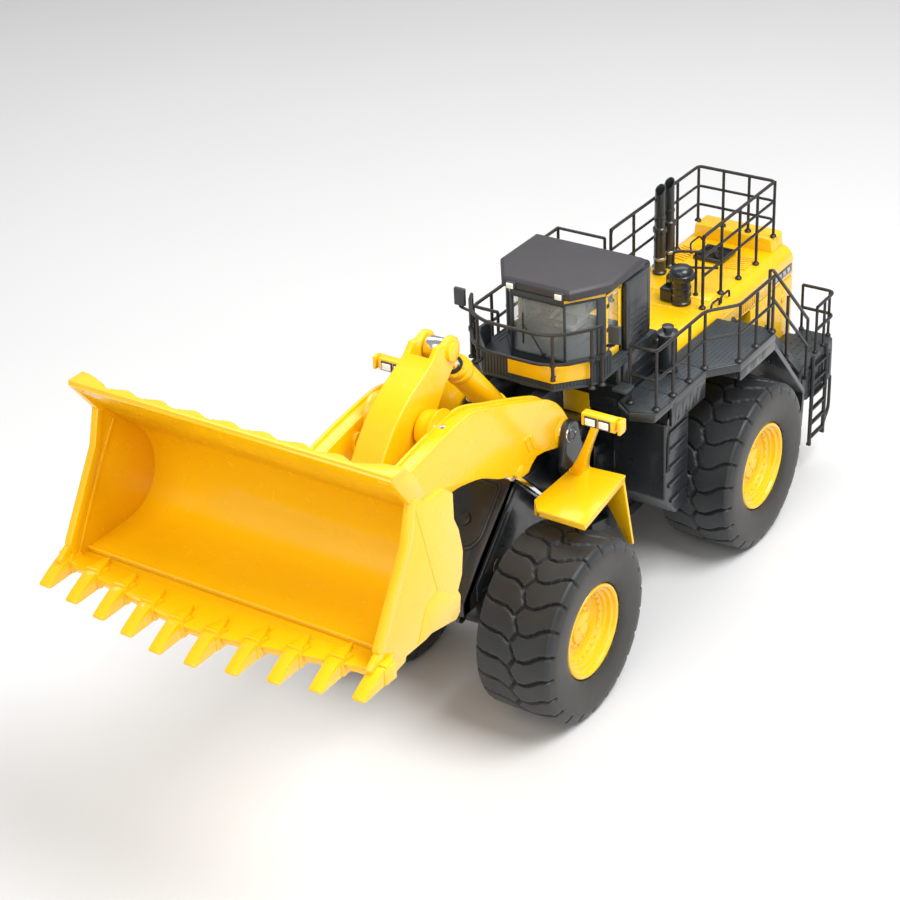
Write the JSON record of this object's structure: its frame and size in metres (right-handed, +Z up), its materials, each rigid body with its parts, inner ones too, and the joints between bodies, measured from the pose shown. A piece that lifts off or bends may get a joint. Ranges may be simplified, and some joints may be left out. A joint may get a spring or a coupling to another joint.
{
  "type": "toy wheel loader",
  "caption": "Scale model of a large articulated wheel loader with a raised toothed bucket, Z-bar linkage, railed walkways and a glazed cab.",
  "frame": {"origin": "middle of the footprint of the whole machine, on the ground under the tyres", "axes": "+X towards the bucket teeth, +Y to the machine's left, +Z up"},
  "size_m": [0.4, 0.1328, 0.1764],
  "materials": {
    "yellow_paint": "gloss",
    "black_paint": "semi-gloss",
    "slate_plastic": "matte",
    "rail_black": "satin",
    "roof_grey": "matte",
    "tyre_rubber": "matte",
    "bright_steel": "polished",
    "window_glass": "clear",
    "lens_white": "gloss"
  },
  "bodies": {
    "rear_frame": {"rear_chassis": "black_paint", "articulation_pin": "bright_steel", "counterweight": "yellow_paint", "hood": "yellow_paint", "hood_hatch": "black_paint", "exhaust_1": "black_paint", "exhaust_2": "black_paint", "precleaner": "black_paint", "filter_canister": "black_paint", "hood_rail": "rail_black", "deck_left": "slate_plastic", "deck_right": "slate_plastic", "deck_rail_left": "rail_black", "deck_rail_right": "rail_black", "rear_mudguard_left": "slate_plastic", "rear_mudguard_right": "slate_plastic", "side_tank_left": "black_paint", "side_tank_right": "black_paint", "rear_stairs": "slate_plastic", "stair_rail": "rail_black", "landing_rail": "rail_black", "cab_pedestal": "black_paint", "cab_platform": "slate_plastic", "platform_rail": "rail_black", "cab_shell": "black_paint", "cab_glass": "window_glass", "cab_roof": "roof_grey", "cab_seat": "black_paint", "wiper": "rail_black", "intake_pillar_left": "slate_plastic", "intake_pillar_right": "slate_plastic", "mirror_left": "rail_black", "mirror_right": "rail_black"},
    "rear_axle": {"rear_axle": "black_paint"},
    "front_frame": {"front_frame": "black_paint", "front_axle": "black_paint", "front_fender_left": "yellow_paint", "front_fender_right": "yellow_paint", "headlamp_left": "lens_white", "headlamp_right": "lens_white"},
    "boom": {"boom": "yellow_paint", "bellcrank_pin": "bright_steel"},
    "bellcrank": {"bellcrank": "yellow_paint"},
    "bucket_link": {"bucket_link": "yellow_paint"},
    "bucket": {"bucket": "yellow_paint", "cutting_edge": "yellow_paint"},
    "tilt_barrel": {"tilt_barrel": "yellow_paint"},
    "tilt_rod": {"tilt_rod": "bright_steel"},
    "lift_barrel_left": {"lift_barrel_left": "black_paint"},
    "lift_barrel_right": {"lift_barrel_right": "black_paint"},
    "lift_rod_left": {"lift_rod_left": "bright_steel"},
    "lift_rod_right": {"lift_rod_right": "bright_steel"},
    "wheel_front_left": {"tyre_front_left": "tyre_rubber", "rim_front_left": "yellow_paint"},
    "wheel_front_right": {"tyre_front_right": "tyre_rubber", "rim_front_right": "yellow_paint"},
    "wheel_rear_left": {"tyre_rear_left": "tyre_rubber", "rim_rear_left": "yellow_paint"},
    "wheel_rear_right": {"tyre_rear_right": "tyre_rubber", "rim_rear_right": "yellow_paint"}
  },
  "joints": [
    {"name": "steer", "type": "hinge", "parent": "rear_frame", "child": "front_frame", "pos_m": [-0.04299, 0, 0.05], "axis": [0, 0, 1], "range_deg": [-35, 35]},
    {"name": "rear_axle_swing", "type": "hinge", "parent": "rear_frame", "child": "rear_axle", "pos_m": [-0.11399, 0, 0.0364], "axis": [1, 0, 0], "range_deg": [-5, 5]},
    {"name": "boom_lift", "type": "hinge", "parent": "front_frame", "child": "boom", "pos_m": [-0.00599, 0, 0.097], "axis": [0, -1, 0], "range_deg": [-50, 22]},
    {"name": "bucket_tilt", "type": "hinge", "parent": "boom", "child": "bucket", "pos_m": [0.12101, 0, 0.117], "axis": [0, -1, 0], "range_deg": [-38, 50]},
    {"name": "bellcrank_swing", "type": "hinge", "parent": "boom", "child": "bellcrank", "pos_m": [0.06601, 0, 0.13], "axis": [0, -1, 0], "range_deg": [-10.1, 7.7]},
    {"name": "bucket_link_swing", "type": "hinge", "parent": "bellcrank", "child": "bucket_link", "pos_m": [0.10501, 0, 0.111], "axis": [0, -1, 0], "range_deg": [-26.1, 34.3]},
    {"name": "tilt_barrel_swing", "type": "hinge", "parent": "front_frame", "child": "tilt_barrel", "pos_m": [0.00401, 0, 0.1036], "axis": [0, -1, 0], "range_deg": [-58.6, 25.8]},
    {"name": "tilt_rod_slide", "type": "slide", "parent": "tilt_barrel", "child": "tilt_rod", "axis": [0.6627, 0, 0.7489], "range_m": [-0.004, 0.0052]},
    {"name": "lift_barrel_swing_left", "type": "hinge", "parent": "front_frame", "child": "lift_barrel_left", "pos_m": [-0.00899, 0.0169, 0.06], "axis": [0, -1, 0], "range_deg": [-21.4, 9.5]},
    {"name": "lift_rod_slide_left", "type": "slide", "parent": "lift_barrel_left", "child": "lift_rod_left", "axis": [0.7212, 0, 0.6927], "range_m": [-0.0231, 0.0102]},
    {"name": "lift_barrel_swing_right", "type": "hinge", "parent": "front_frame", "child": "lift_barrel_right", "pos_m": [-0.00899, -0.0169, 0.06], "axis": [0, -1, 0], "range_deg": [-21.4, 9.5]},
    {"name": "lift_rod_slide_right", "type": "slide", "parent": "lift_barrel_right", "child": "lift_rod_right", "axis": [0.7212, 0, 0.6927], "range_m": [-0.0231, 0.0102]},
    {"name": "wheel_spin_front_left", "type": "hinge", "parent": "front_frame", "child": "wheel_front_left", "pos_m": [0.02801, 0.039, 0.0364], "axis": [0, 1, 0], "continuous": true},
    {"name": "wheel_spin_front_right", "type": "hinge", "parent": "front_frame", "child": "wheel_front_right", "pos_m": [0.02801, -0.039, 0.0364], "axis": [0, 1, 0], "continuous": true},
    {"name": "wheel_spin_rear_left", "type": "hinge", "parent": "rear_axle", "child": "wheel_rear_left", "pos_m": [-0.11399, 0.039, 0.0364], "axis": [0, 1, 0], "continuous": true},
    {"name": "wheel_spin_rear_right", "type": "hinge", "parent": "rear_axle", "child": "wheel_rear_right", "pos_m": [-0.11399, -0.039, 0.0364], "axis": [0, 1, 0], "continuous": true}
  ],
  "couplings": [
    {"joint": "bellcrank_swing", "follows": "bucket_tilt", "ratio": -0.2},
    {"joint": "bucket_link_swing", "follows": "bucket_tilt", "ratio": 0.684},
    {"joint": "tilt_rod_slide", "follows": "bucket_tilt", "m_per_rad": 0.0059},
    {"joint": "tilt_barrel_swing", "follows": "boom_lift", "ratio": 1.17},
    {"joint": "lift_barrel_swing_left", "follows": "boom_lift", "ratio": 0.427},
    {"joint": "lift_rod_slide_left", "follows": "boom_lift", "m_per_rad": 0.02643},
    {"joint": "lift_barrel_swing_right", "follows": "boom_lift", "ratio": 0.427},
    {"joint": "lift_rod_slide_right", "follows": "boom_lift", "m_per_rad": 0.02643}
  ]
}
